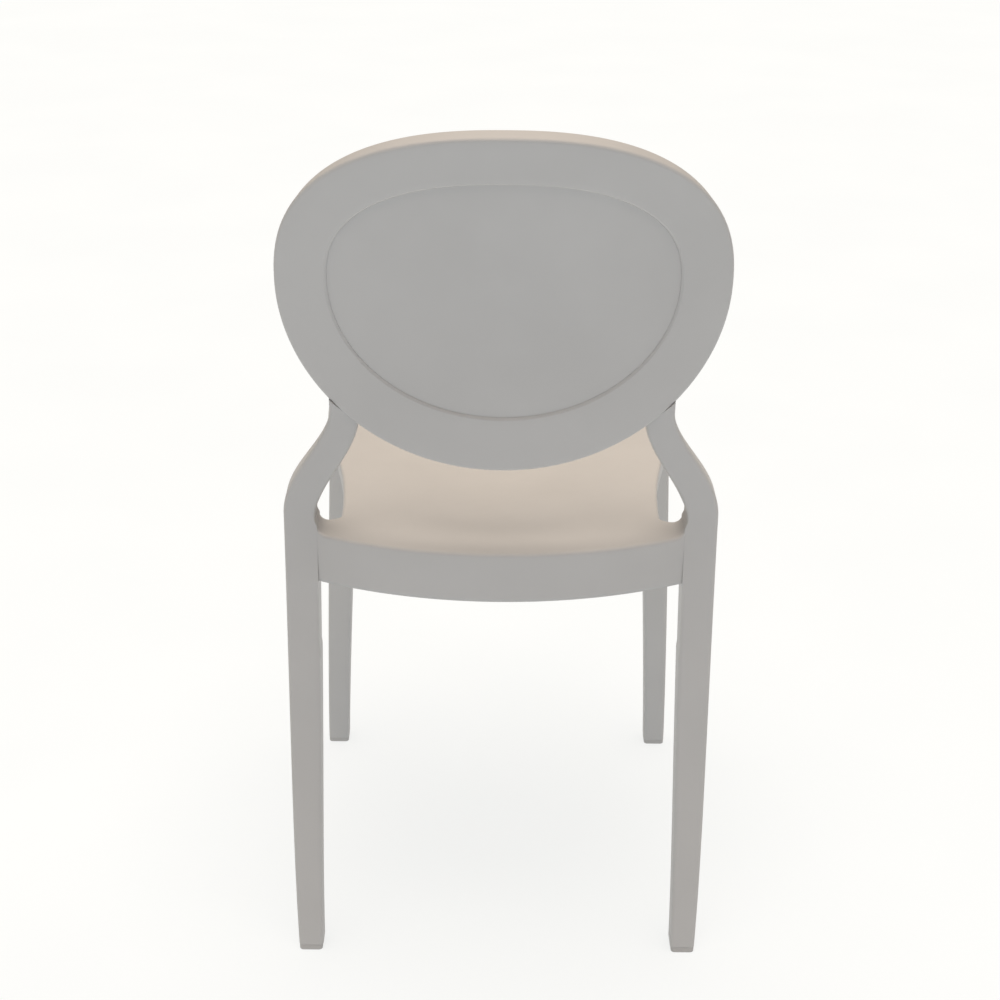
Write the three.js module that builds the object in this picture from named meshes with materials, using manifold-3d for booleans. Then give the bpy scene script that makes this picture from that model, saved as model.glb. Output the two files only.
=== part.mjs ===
// A stacking chair moulded in matte polypropylene, with an egg-shaped back.
// Units are millimetres and +Z is up. The chair faces -Y, and its left is +X.
// While the pieces are made, y = 0 is the rear face of the rear feet; the last step moves the whole
// chair so that the origin is the middle of its footprint, on the floor.
import * as THREE from "three";
import { mergeVertices } from "three/addons/utils/BufferGeometryUtils.js";
import Module from "manifold-3d";

const wasm = await Module();
wasm.setup();

// ---- Driving dimensions ----
const GAP = 0.3; // clearance between pieces that touch

const SEAT_HEIGHT = 470; // top of the seat's rear corners, where the rear legs turn into uprights
const SEAT_RIM_DROP = 8; // rim of the seat below its rear corners
const SEAT_FRONT_RISE = 2; // front edge above the rest of the rim
const SEAT_DISH = 11; // hollow in the middle of the seat
const DISH_MIDDLE = 0.44; // deepest place, as a share of the seat's length from its rear
const DISH_SHARES = [0.12, 0.3, 0.5, 0.7, 0.86, 1]; // rings between that place and the rim
const SEAT_WALL = 4.5;
const SEAT_EDGE_RADIUS = 4;
const SEAT_REAR_BOW = 46; // how far the rear edge bows back between the legs
const WAIST_GAP = 21; // between a rear leg and the narrowest part of the seat
const SIDE_OVERHANG = 0.5; // seat beyond the outside of a front leg
const FRONT_OVERHANG = 15; // seat beyond the front of a front leg
const SEAT_CORNER_RADIUS = 24;
const SEAT_FRONT_BOW = 8;
const WAIST_RUN = 12; // straight side between the rear leg's block and the flare
const FLARE = { rear: 0.47, front: 0.4 }; // reach of the flare's two handles, as shares of its length
const APRON_REAR = 52.5; // depths of the skirt round the seat
const APRON_SIDE = 16;
const APRON_FRONT = 42;
const APRON_FALL = 26; // run over which the skirt rises in front of the block
const APRON_RAMP = 108; // run over which it deepens again behind a front leg

const REAR_LEG_X = 203; // middle of each rear leg at seat height
const REAR_LEG_WIDTH = 33.7;
const REAR_LEG_DEPTH = 40;
const REAR_LEG_SWEEP = 66; // seat-height rear face ahead of the foot
const REAR_LEG_CURVE = 1.6; // exponent of that sweep: 1 is straight
const REAR_LEG_HOLLOW = 80; // top of the hollow, above the seat
const REAR_FOOT_TUCK = 6; // exponent of the inward turn just above the floor
const FRONT_LEG_X = 185.9; // middle of each front leg at its shoulder
const FRONT_LEG_WIDTH = 32.4;
const FRONT_LEG_DEPTH = 40;
const FRONT_LEG_CURVE = 1.3; // exponent of the outward splay
const FRONT_LEG_SOLID = 40; // solid top of a front leg, below its shoulder
const FOOT_X = 199.6; // middle of each rear foot
const FRONT_FOOT_X = 201.4;
const FOOT_WIDTH = 25;
const FOOT_DEPTH = 27;
const WHEELBASE = 440; // rear face of a rear foot to rear face of a front foot
const LEG_WALL = 4;
const LEG_CORNER_RADIUS = 4;
const GLIDE_HEIGHT = 6;
const GLIDE_CHAMFER = 1.2;
const SPIGOT_HEIGHT = 16; // top of a glide's plug inside its leg

const BACK_HALF_WIDTH = 219.5;
const BACK_RISE = 264; // seat height to the widest line of the back
const BACK_UPPER = 157.4; // widest line to the top
const BACK_LOWER = 190; // widest line to the bottom
const BACK_UPPER_POWER = 2.34; // superellipse exponents of the egg: 2 is an ellipse
const BACK_LOWER_POWER = 2.05;
const BACK_WALL = 4;
const BACK_EDGE_RADIUS = 4;
const BACK_RADIUS = 600; // curve round the sitter
const BACK_LEAN = 0.118; // slope of the back where the uprights meet it
const BACK_CURL = 0.00041; // growth of that slope for each millimetre of height
const BACK_SETBACK = 31; // rear face of the back, ahead of the feet, at the uprights
const PANEL_INSET = 52; // width of the ring round the rear panel
const PANEL_RAISE = 0.12; // an inner egg sits higher by this share of its inset
const PANEL_THICKNESS = 2.5;
const PANEL_RECESS = 2.2; // rear panel below the ring round it
const LEDGE = { width: 6, thickness: 2 }; // what the panel rests on
const PANEL_LIP = 3;
const INNER_CHAMFER = 1;

const JOINT_X = 155; // where the middle of an upright meets the back
const UPRIGHT_WIDTH = 29.5;
const UPRIGHT_SWAY = { from: 0.1, to: 1.02 }; // shares of its rise between which an upright draws in
const UPRIGHT_INSET = 2.2; // upright below the rear face of the back
const UPRIGHT_OVERRUN = 34; // upright above the joint, before the back's edge trims it
const TRIM_REACH = 24; // how far that trim goes behind and in front of the back
const NECK = { depth: 2.3, middle: 7, end: 36 }; // hollow of the inner face above the seat
const TENON_WIDTH = 24;
const TENON_THICKNESS = 6.2;
const TENON_LENGTH = 92; // beyond the joint, inside the back
const TENON_SLOPE = -0.3; // sideways run for each millimetre of height
const TENON_ROOT = 16; // how far a tenon starts inside its upright
const SOCKET_MOUTH = 40; // how far a socket's bar starts below the joint, outside the back
const SOCKET_WALL = 5;
const SOCKET_REAR_WALL = 2.9;
const SOCKET_FRONT_WALL = 3.3;

const TONGUE = { depth: 12, height: 34, length: 5 }; // seat block into a rear leg
const BLOCK_DEPTH = 38; // seat block that carries a rear leg
const BLOCK_FILLET = 14; // round between that block and the seat's side
const BLOCK_SINK = 0.5; // flat top of the block below the rim
const BLOCK_OVERLAP = 7; // how far that block reaches inside the seat's side
const LEG_BOSS = 15; // thickened inner wall of a rear leg behind the block
const PLUG_HEIGHT = 28; // plug of a front leg inside the seat
const PLUG_WALL = 5; // step from the outside of a front leg to its plug
const PLUG_ROOT = 8; // how far the plug starts below the shoulder

const SCREW_RADIUS = 2.4;
const BLOCK_SCREW = { head: 5, headHeight: 3, length: 32 };
const PLUG_SCREW = { head: 5, headHeight: 3, length: 16 };
const BACK_SCREW = { head: 4.4, headHeight: 2, length: 8 };
const BACK_SCREW_INSETS = [26, 9]; // from the end of a tenon
const PLUG_SCREW_SPREAD = 4.5; // a plug's side screw below its middle, and the front screw above it

const CORNER_STEPS = 2; // segments of a rounded leg corner
const EDGE_STEPS = 3; // segments of a rounded edge
const PLAN_STEPS = 28; // segments of half the seat's outline
const EGG_STEPS = 48;
const EGG_SHARES = [0.25, 0.5, 0.68, 0.85, 1]; // rings between the middle of an egg and its edge
const SCREW_SIDES = 8;

const PLASTIC = { color: 0xe6e1da, roughness: 0.62, metalness: 0 };
const GLIDE_PLASTIC = { color: 0xd9d5cd, roughness: 0.7, metalness: 0 };
const STEEL = { color: 0xb9bcc0, roughness: 0.35, metalness: 1 };

// ---- Worked out from them ----
const BACK_CENTRE = SEAT_HEIGHT + BACK_RISE;
const JOINT_Z = BACK_CENTRE - BACK_LOWER * superellipse(JOINT_X / BACK_HALF_WIDTH, BACK_LOWER_POWER);
const JOINT_RISE = JOINT_Z - SEAT_HEIGHT;
const SEAT_REAR_Y = -REAR_LEG_SWEEP;
const FRONT_LEG_REAR = FRONT_LEG_DEPTH - FOOT_DEPTH - WHEELBASE;
const SEAT_FRONT_Y = FRONT_LEG_REAR - FRONT_LEG_DEPTH - FRONT_OVERHANG;
const SEAT_LENGTH = SEAT_REAR_Y - SEAT_FRONT_Y;
const REAR_INNER_FACE = REAR_LEG_X - REAR_LEG_WIDTH / 2;
const SEAT_WAIST = REAR_INNER_FACE - WAIST_GAP; // half widths of the seat
const BLOCK_INNER = SEAT_WAIST - BLOCK_OVERLAP;
const SEAT_FRONT_HALF = FRONT_LEG_X + FRONT_LEG_WIDTH / 2 + SIDE_OVERHANG;
const REAR_RADIUS = (REAR_INNER_FACE ** 2 + SEAT_REAR_BOW ** 2) / (2 * SEAT_REAR_BOW);
const PANEL_FLOOR = PANEL_RECESS + PANEL_THICKNESS + GAP;
const TENON_DEPTH = PANEL_FLOOR + SOCKET_REAR_WALL + GAP; // behind it, from the back's rear face
const BACK_THICKNESS = TENON_DEPTH + TENON_THICKNESS + GAP + SOCKET_FRONT_WALL;
const SEAT_CENTRE_Y = SEAT_REAR_Y - SEAT_LENGTH * DISH_MIDDLE;
const SEAT_RIM = SEAT_HEIGHT - SEAT_RIM_DROP;
const BLOCK_MIDDLE = SEAT_RIM - APRON_REAR / 2;
const TONGUE_Y = SEAT_REAR_Y - BLOCK_DEPTH / 2;
const FRONT_SHOULDER = rimHeight(FRONT_LEG_REAR) - APRON_FRONT - GAP;
const PLUG_TOP = FRONT_SHOULDER + PLUG_HEIGHT;

const OUTWARD = new THREE.Vector3(1, 0, 0);
const FORWARD = new THREE.Vector3(0, -1, 0);
const BACKING = new THREE.Vector3(0, 1, 0); // into the back, on a piece that still lies flat

// ---- Shape helpers ----

function smooth(t, from, to) {
  return THREE.MathUtils.smoothstep(t, from, to);
}

// Height of a superellipse of half width and height 1, at a distance from its middle.
function superellipse(distance, power) {
  return (1 - distance ** power) ** (1 / power);
}

// A smooth function through [position, value] pairs that never swings past them, and is level beyond.
function through(pairs) {
  const rise = (i) => (pairs[i + 1][1] - pairs[i][1]) / (pairs[i + 1][0] - pairs[i][0]);
  const slope = (i) => {
    if (i === 0 || i === pairs.length - 1) return 0;
    const [before, after] = [rise(i - 1), rise(i)];
    return before * after > 0 ? (2 * before * after) / (before + after) : 0;
  };
  return (position) => {
    let i = 0;
    while (i < pairs.length - 2 && position > pairs[i + 1][0]) i += 1;
    const span = pairs[i + 1][0] - pairs[i][0];
    const t = THREE.MathUtils.clamp((position - pairs[i][0]) / span, 0, 1);
    const swing = t * t * (3 - 2 * t);
    const lift = (t * (1 - t) * (1 - t) * slope(i) - t * t * (1 - t) * slope(i + 1)) * span;
    return THREE.MathUtils.lerp(pairs[i][1], pairs[i + 1][1], swing) + lift;
  };
}

function steps(from, to, count) {
  return Array.from({ length: count + 1 }, (_, i) => from + ((to - from) * i) / count);
}

// A box outline with rounded corners, counterclockwise, about its own middle.
function roundedBox(width, depth, radius) {
  const r = Math.min(radius, width / 2 - 0.1, depth / 2 - 0.1);
  const shape = new THREE.Path();
  shape.absarc(width / 2 - r, depth / 2 - r, r, 0, Math.PI / 2);
  shape.absarc(r - width / 2, depth / 2 - r, r, Math.PI / 2, Math.PI);
  shape.absarc(r - width / 2, r - depth / 2, r, Math.PI, Math.PI * 1.5);
  shape.absarc(width / 2 - r, r - depth / 2, r, Math.PI * 1.5, Math.PI * 2);
  const points = shape.getPoints(CORNER_STEPS);
  return points.filter((p, i) => p.distanceTo(points[(i + 1) % points.length]) > 1e-4);
}

// A closed skin over rings of Vector3 with equal counts, with a fan over each end.
function loft(rings) {
  const count = rings[0].length;
  const positions = rings.flat().flatMap((p) => [p.x, p.y, p.z]);
  const faces = [];
  for (let r = 0; r + 1 < rings.length; r += 1) {
    for (let i = 0; i < count; i += 1) {
      const a = r * count + i;
      const b = r * count + ((i + 1) % count);
      faces.push(a, b, b + count, a, b + count, a + count);
    }
  }
  for (const [start, turn] of [[0, 1], [rings.length - 1, 0]]) {
    const middle = rings[start].reduce((sum, p) => sum.add(p), new THREE.Vector3());
    const m = positions.length / 3;
    positions.push(middle.x / count, middle.y / count, middle.z / count);
    for (let i = 0; i < count; i += 1) {
      const a = start * count + i;
      const b = start * count + ((i + 1) % count);
      faces.push(...(turn ? [b, a, m] : [a, b, m]));
    }
  }
  const geometry = new THREE.BufferGeometry();
  geometry.setAttribute("position", new THREE.Float32BufferAttribute(positions, 3));
  geometry.setIndex(faces);
  return solid(geometry);
}

// A geometry as a manifold solid with its faces pointing out.
function solid(geometry) {
  const bare = geometry.clone();
  bare.deleteAttribute("normal");
  bare.deleteAttribute("uv");
  const merged = mergeVertices(bare, 1e-4);
  const vertProperties = new Float32Array(merged.attributes.position.array);
  const triVerts = new Uint32Array(merged.index.array);
  const make = () => new wasm.Manifold(new wasm.Mesh({ numProp: 3, vertProperties, triVerts }));
  const made = make();
  if (made.volume() > 0) return made;
  for (let i = 0; i < triVerts.length; i += 3) {
    [triVerts[i + 1], triVerts[i + 2]] = [triVerts[i + 2], triVerts[i + 1]];
  }
  return make();
}

function geometryOf(body) {
  const mesh = body.getMesh();
  const positions = new Float32Array(mesh.numVert * 3);
  for (let i = 0; i < mesh.numVert; i += 1) {
    const start = i * mesh.numProp;
    positions.set(mesh.vertProperties.subarray(start, start + 3), i * 3);
  }
  const geometry = new THREE.BufferGeometry();
  geometry.setAttribute("position", new THREE.BufferAttribute(positions, 3));
  geometry.setIndex(new THREE.BufferAttribute(new Uint32Array(mesh.triVerts), 1));
  return geometry;
}

// The same solid with every point moved by a function of its place.
function mapped(body, move) {
  const geometry = geometryOf(body);
  const place = geometry.attributes.position;
  const p = new THREE.Vector3();
  for (let i = 0; i < place.count; i += 1) {
    const q = move(p.fromBufferAttribute(place, i));
    place.setXYZ(i, q.x, q.y, q.z);
  }
  return solid(geometry);
}

function box(width, depth, height, x, y, z) {
  return solid(new THREE.BoxGeometry(width, depth, height).translate(x, y, z));
}

const extruded = (shape, depth) =>
  new THREE.ExtrudeGeometry(shape, { depth, bevelEnabled: false, curveSegments: 6 });

// A round bar between two heights of its own axis, turned to point along `axis` from `start`.
function bar(profile, start, axis) {
  const points = profile.map(([radius, along]) => new THREE.Vector2(radius, along));
  const turn = new THREE.Quaternion().setFromUnitVectors(new THREE.Vector3(0, 1, 0), axis);
  const lathe = new THREE.LatheGeometry(points, SCREW_SIDES);
  return solid(lathe.applyQuaternion(turn).translate(start.x, start.y, start.z));
}

// ---- The egg and the curved sheet of the back ----

// The egg outline grown by `grow`, as {x, z} at one of EGG_STEPS places round it.
function eggPoint(i, grow) {
  const angle = (2 * Math.PI * i) / EGG_STEPS;
  const above = Math.sin(angle) >= 0;
  const power = 2 / (above ? BACK_UPPER_POWER : BACK_LOWER_POWER);
  const reach = (above ? BACK_UPPER : BACK_LOWER) + grow;
  const bend = (value) => Math.sign(value) * Math.abs(value) ** power;
  return {
    x: (BACK_HALF_WIDTH + grow) * bend(Math.cos(angle)),
    z: BACK_CENTRE - PANEL_RAISE * grow + reach * bend(Math.sin(angle)),
  };
}

// One ring of the back, laid flat: `shrink` 0..1 draws it in towards the middle.
function eggRing(grow, depth, shrink = 1) {
  return Array.from({ length: EGG_STEPS }, (_, i) => {
    const { x, z } = eggPoint(i, grow);
    return new THREE.Vector3(x * shrink, depth, BACK_CENTRE + (z - BACK_CENTRE) * shrink);
  });
}

// Lays a flat piece (x, depth below the rear face, z) onto the curved sheet of the back.
function ontoBack(p) {
  const rise = p.z - JOINT_Z;
  const slope = BACK_LEAN + 2 * BACK_CURL * rise;
  const y = BACK_LEAN * rise + BACK_CURL * rise * rise - BACK_SETBACK - p.x ** 2 / (2 * BACK_RADIUS);
  const forward = new THREE.Vector3(-p.x / BACK_RADIUS, -1, slope).normalize();
  return new THREE.Vector3(p.x, y, p.z).addScaledVector(forward, p.y);
}

// ---- Back shell and panel, laid flat ----

function backShell() {
  const r = BACK_EDGE_RADIUS;
  const outer = -PANEL_INSET;
  const inner = BACK_THICKNESS - BACK_WALL;
  const edge = steps(0, Math.PI / 2, EDGE_STEPS);
  const rings = [
    ...EGG_SHARES.map((s) => eggRing(outer - LEDGE.width, inner, s)),
    eggRing(outer, inner),
    eggRing(-BACK_WALL * 2, inner),
    eggRing(-BACK_WALL, inner - BACK_WALL),
    eggRing(-BACK_WALL, BACK_WALL + INNER_CHAMFER),
    eggRing(-BACK_WALL - INNER_CHAMFER, BACK_WALL),
    eggRing(outer + BACK_WALL, BACK_WALL),
    eggRing(outer + BACK_WALL, PANEL_FLOOR + LEDGE.thickness),
    eggRing(outer - LEDGE.width, PANEL_FLOOR + LEDGE.thickness),
    eggRing(outer - LEDGE.width, PANEL_FLOOR),
    eggRing(outer, PANEL_FLOOR),
    eggRing(outer, 0),
    eggRing(outer / 2, 0),
    ...edge.map((a) => eggRing(-r + r * Math.sin(a), r - r * Math.cos(a))),
    ...edge.map((a) => eggRing(-r + r * Math.cos(a), BACK_THICKNESS - r + r * Math.sin(a))),
    eggRing(outer / 2, BACK_THICKNESS),
    ...EGG_SHARES.toReversed().map((s) => eggRing(outer, BACK_THICKNESS, s)),
  ];
  return loft(rings);
}

// The panel has a lip inside the ledge, which is cut away where the tenon sleeves cross it.
function backPanel() {
  const rim = -PANEL_INSET - GAP;
  const lip = rim - LEDGE.width;
  const front = PANEL_RECESS + PANEL_THICKNESS;
  const plate = loft([
    ...EGG_SHARES.map((s) => eggRing(rim, PANEL_RECESS, s)),
    eggRing(rim, front),
    eggRing(lip, front),
    eggRing(lip, front + PANEL_LIP),
    eggRing(lip - BACK_WALL / 2, front + PANEL_LIP),
    ...EGG_SHARES.toReversed().map((s) => eggRing(lip - BACK_WALL / 2, front, s)),
  ]);
  return mapped(bothSides(plate, "subtract", tenonSleeve(GAP)), ontoBack);
}

// A straight bar along the tenon's axis, laid flat, from `start` to `end` beyond the joint.
function tenonBar(width, rear, front, start, end) {
  const length = end - start;
  const block = new THREE.BoxGeometry(width, front - rear, length, 2, 1, 8);
  block.translate(0, (front + rear) / 2, start + length / 2);
  block.rotateY(Math.atan(TENON_SLOPE));
  return solid(block.translate(JOINT_X, 0, JOINT_Z));
}

function alongTenon(distance) {
  const turn = Math.atan(TENON_SLOPE);
  return { x: JOINT_X + distance * Math.sin(turn), z: JOINT_Z + distance * Math.cos(turn) };
}

const tenon = () =>
  tenonBar(TENON_WIDTH, TENON_DEPTH, TENON_DEPTH + TENON_THICKNESS, -TENON_ROOT, TENON_LENGTH);

const tenonSlot = () =>
  tenonBar(
    TENON_WIDTH + 2 * GAP,
    TENON_DEPTH - GAP,
    TENON_DEPTH + TENON_THICKNESS + GAP,
    -SOCKET_MOUTH,
    TENON_LENGTH + GAP,
  );

// The sleeve round a tenon, from the panel's ledge forward.
const tenonSleeve = (grow = 0) =>
  tenonBar(
    TENON_WIDTH + 2 * (SOCKET_WALL + grow),
    PANEL_FLOOR - grow,
    BACK_THICKNESS - BACK_WALL / 2,
    -SOCKET_MOUTH,
    TENON_LENGTH + SOCKET_WALL + grow,
  );

const backScrewPlaces = BACK_SCREW_INSETS.map((inset) => alongTenon(TENON_LENGTH - inset));

function backScrew({ x, z }, grow = 0) {
  return countersunk(BACK_SCREW, new THREE.Vector3(x, PANEL_FLOOR + GAP, z), BACKING, grow);
}

// ---- Screws ----

// A countersunk screw, or with `grow` the hole that it passes through.
function countersunk({ head, headHeight, length }, start, axis, grow) {
  const profile = [
    [0, -grow],
    [head + grow, -grow],
    [head + grow, grow],
    [SCREW_RADIUS + grow, headHeight + grow],
    [SCREW_RADIUS + grow, length - SCREW_RADIUS + grow],
    [0, length + grow],
  ];
  const flush = grow ? profile : [[0, 0], [head, 0], ...profile.slice(3)];
  return bar(flush, start, axis);
}

// A pan-head screw whose head stands proud of `start`.
function panHead({ head, headHeight, length }, start, axis) {
  const profile = [
    [0, -headHeight],
    [head * 0.7, -headHeight],
    [head, -headHeight * 0.5],
    [head, -GAP],
    [SCREW_RADIUS, -GAP],
    [SCREW_RADIUS, length - SCREW_RADIUS],
    [0, length],
  ];
  return bar(profile, start, axis);
}

function screwHole({ length }, start, axis) {
  const radius = SCREW_RADIUS + GAP;
  return bar([[0, -GAP], [radius, -GAP], [radius, length + GAP], [0, length + GAP]], start, axis);
}

// ---- Legs ----

const JOINT_REAR_Y = ontoBack(new THREE.Vector3(JOINT_X, UPRIGHT_INSET, JOINT_Z)).y;

const neckAt = through([[0, 0], [NECK.middle, NECK.depth], [NECK.end, 0]]);

// Section of a rear leg at a height: middle x, width, rear y and depth.
function rearLegSection(z) {
  if (z <= SEAT_HEIGHT) {
    const t = z / SEAT_HEIGHT;
    return {
      x: THREE.MathUtils.lerp(REAR_LEG_X, FOOT_X, (1 - t) ** REAR_FOOT_TUCK),
      width: THREE.MathUtils.lerp(REAR_LEG_WIDTH, FOOT_WIDTH, (1 - t) ** 2),
      rear: -REAR_LEG_SWEEP * (1 - (1 - t) ** REAR_LEG_CURVE),
      depth: THREE.MathUtils.lerp(FOOT_DEPTH, REAR_LEG_DEPTH, t),
    };
  }
  const t = (z - SEAT_HEIGHT) / JOINT_RISE;
  const shift = REAR_LEG_X - JOINT_X;
  const middle = (u) => REAR_LEG_X - shift * smooth(u, UPRIGHT_SWAY.from, UPRIGHT_SWAY.to);
  const slope = (middle(t + 0.01) - middle(t - 0.01)) / (0.02 * JOINT_RISE);
  const across = THREE.MathUtils.lerp(REAR_LEG_WIDTH, UPRIGHT_WIDTH, t * t);
  const slim = BACK_THICKNESS - 2 * UPRIGHT_INSET;
  const neck = neckAt(z - SEAT_HEIGHT);
  return {
    x: middle(t) + neck / 2,
    width: across * Math.hypot(1, slope) - neck,
    rear: THREE.MathUtils.lerp(-REAR_LEG_SWEEP, JOINT_REAR_Y, t ** REAR_LEG_CURVE),
    depth: THREE.MathUtils.lerp(REAR_LEG_DEPTH, slim, smooth(t, 0, 1)),
  };
}

function frontLegSection(z) {
  const t = z / FRONT_SHOULDER;
  return {
    x: THREE.MathUtils.lerp(FRONT_FOOT_X, FRONT_LEG_X, t ** FRONT_LEG_CURVE),
    width: THREE.MathUtils.lerp(FOOT_WIDTH, FRONT_LEG_WIDTH, t),
    rear: THREE.MathUtils.lerp(-WHEELBASE, FRONT_LEG_REAR, t),
    depth: THREE.MathUtils.lerp(FOOT_DEPTH, FRONT_LEG_DEPTH, t),
  };
}

// The outline of a leg section, drawn in by a wall on each side.
function legRing(section, z, wall = 0, innerWall = wall) {
  const width = section.width - wall - innerWall;
  const x = section.x + (innerWall - wall) / 2;
  const y = section.rear - section.depth / 2;
  const outline = roundedBox(width, section.depth - 2 * wall, LEG_CORNER_RADIUS - wall / 2);
  return outline.map((p) => new THREE.Vector3(x + p.x, y + p.y, z));
}

// Thickness of a rear leg's inner wall, with a boss where the seat block is screwed on.
const innerWall = through([
  [BLOCK_MIDDLE - APRON_REAR * 0.9, LEG_WALL],
  [BLOCK_MIDDLE - APRON_REAR * 0.5, LEG_BOSS],
  [BLOCK_MIDDLE + APRON_REAR * 0.5, LEG_BOSS],
  [BLOCK_MIDDLE + APRON_REAR * 0.9, LEG_WALL],
]);

function tongue(grow) {
  const reach = TONGUE.length + grow;
  return box(
    reach + 1,
    TONGUE.depth + 2 * grow,
    TONGUE.height + 2 * grow,
    REAR_INNER_FACE - GAP + (reach - 1) / 2,
    TONGUE_Y,
    BLOCK_MIDDLE,
  );
}

const blockScrewStarts = [-1, 1].map(
  (side) => new THREE.Vector3(BLOCK_INNER, TONGUE_Y, BLOCK_MIDDLE + (side * TONGUE.height) / 4),
);

function rearLeg() {
  const heights = [
    ...steps(GLIDE_HEIGHT, SEAT_HEIGHT, 7),
    ...steps(SEAT_HEIGHT, JOINT_Z + UPRIGHT_OVERRUN, 14).slice(1),
  ];
  const body = loft(heights.map((z) => legRing(rearLegSection(z), z)));
  const hollow = loft(
    [0, ...steps(GLIDE_HEIGHT, SEAT_HEIGHT + REAR_LEG_HOLLOW, 14)].map((z) =>
      legRing(rearLegSection(z), z, LEG_WALL, innerWall(z)),
    ),
  );
  const trim = loft(
    steps(-TRIM_REACH, BACK_THICKNESS + TRIM_REACH, 3).map((depth) => eggRing(GAP, depth)),
  );
  let leg = body.subtract(hollow).subtract(mapped(trim, ontoBack));
  leg = leg.add(mapped(tenonWithHoles(), ontoBack)).subtract(tongue(GAP));
  for (const start of blockScrewStarts) {
    leg = leg.subtract(screwHole(BLOCK_SCREW, start, OUTWARD));
  }
  return leg;
}

function tenonWithHoles() {
  let made = tenon();
  for (const { x, z } of backScrewPlaces) {
    made = made.subtract(screwHole(BACK_SCREW, new THREE.Vector3(x, PANEL_FLOOR + GAP, z), BACKING));
  }
  return made;
}

const plugSection = frontLegSection(FRONT_SHOULDER);

function frontLeg() {
  const body = loft(
    steps(GLIDE_HEIGHT, FRONT_SHOULDER, 5).map((z) => legRing(frontLegSection(z), z)),
  );
  const hollow = loft(
    [0, ...steps(GLIDE_HEIGHT, FRONT_SHOULDER - FRONT_LEG_SOLID, 5)].map((z) =>
      legRing(frontLegSection(z), z, LEG_WALL),
    ),
  );
  const plug = loft(
    [FRONT_SHOULDER - PLUG_ROOT, PLUG_TOP].map((z) => legRing(plugSection, z, PLUG_WALL)),
  );
  let leg = body.add(plug).subtract(hollow);
  for (const { start, axis } of plugScrewStarts()) {
    leg = leg.subtract(screwHole(PLUG_SCREW, start, axis));
  }
  return leg;
}

// The two screws of a front leg start on the inner faces of its socket.
function plugScrewStarts() {
  const z = FRONT_SHOULDER + PLUG_HEIGHT / 2;
  const wall = PLUG_WALL - GAP - SEAT_WALL;
  const innerX = plugSection.x - plugSection.width / 2 + wall;
  const rearY = plugSection.rear - wall;
  const midY = plugSection.rear - plugSection.depth / 2;
  const sideStart = new THREE.Vector3(innerX, midY, z - PLUG_SCREW_SPREAD);
  const frontStart = new THREE.Vector3(plugSection.x, rearY, z + PLUG_SCREW_SPREAD);
  return [
    { place: "side", axis: OUTWARD, start: sideStart },
    { place: "front", axis: FORWARD, start: frontStart },
  ];
}

// A foot glide: a chamfered pad, and a plug that follows the leg's slope inside its hollow.
function glide(sectionAt) {
  const plugInset = LEG_WALL + GAP;
  const shoulder = GLIDE_HEIGHT - GAP;
  const levels = [
    [0, GLIDE_CHAMFER],
    [GLIDE_CHAMFER, GAP],
    [shoulder, GAP],
    [shoulder, plugInset],
    [SPIGOT_HEIGHT - GLIDE_CHAMFER, plugInset],
    [SPIGOT_HEIGHT, plugInset + GLIDE_CHAMFER],
  ];
  return loft(levels.map(([z, inset]) => legRing(sectionAt(z), z, inset)));
}

// ---- Seat ----

// Half of the seat's plan, from the middle of its rear edge round its left side to the front.
function seatHalfPlan() {
  const half = SEAT_WAIST;
  const path = new THREE.Path();
  const middle = SEAT_REAR_Y + SEAT_REAR_BOW - REAR_RADIUS;
  path.absarc(0, middle, REAR_RADIUS, Math.PI / 2, Math.acos(half / REAR_RADIUS), true);
  const waistY = SEAT_REAR_Y - BLOCK_DEPTH - WAIST_RUN;
  const cornerY = SEAT_FRONT_Y + SEAT_FRONT_BOW + SEAT_CORNER_RADIUS;
  const flareRun = cornerY - waistY;
  const rearHandle = waistY + flareRun * FLARE.rear;
  const frontHandle = cornerY - flareRun * FLARE.front;
  path.lineTo(half, waistY);
  const front = SEAT_FRONT_HALF;
  path.bezierCurveTo(half, rearHandle, front, frontHandle, front, cornerY);
  path.absarc(front - SEAT_CORNER_RADIUS, cornerY, SEAT_CORNER_RADIUS, 0, -Math.PI / 2, true);
  path.quadraticCurveTo((front - SEAT_CORNER_RADIUS) / 2, SEAT_FRONT_Y, 0, SEAT_FRONT_Y);
  return path.getSpacedPoints(PLAN_STEPS);
}

function seatPlan() {
  const half = seatHalfPlan();
  const other = half.slice(1, -1).reverse().map((p) => new THREE.Vector2(-p.x, p.y));
  return [...half, ...other];
}

// The plan drawn in by a distance along its own normals.
function drawnIn(plan, distance) {
  return plan.map((p, i) => {
    const before = plan.at(i - 1);
    const after = plan[(i + 1) % plan.length];
    const along = after.clone().sub(before).normalize();
    return new THREE.Vector2(p.x + along.y * distance, p.y - along.x * distance);
  });
}

// Height of the seat's rim at a place from back to front.
function rimHeight(y) {
  return SEAT_RIM + SEAT_FRONT_RISE * smooth((SEAT_REAR_Y - y) / SEAT_LENGTH, 0.5, 1);
}

// Depth of the skirt at a place from back to front.
const apronAt = through([
  [FRONT_LEG_REAR, APRON_FRONT],
  [FRONT_LEG_REAR + APRON_RAMP, APRON_SIDE],
  [SEAT_REAR_Y - BLOCK_DEPTH - BLOCK_FILLET - APRON_FALL, APRON_SIDE],
  [SEAT_REAR_Y - BLOCK_DEPTH - BLOCK_FILLET, APRON_REAR],
]);

const apronBottom = (y) => rimHeight(y) - apronAt(y);

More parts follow.
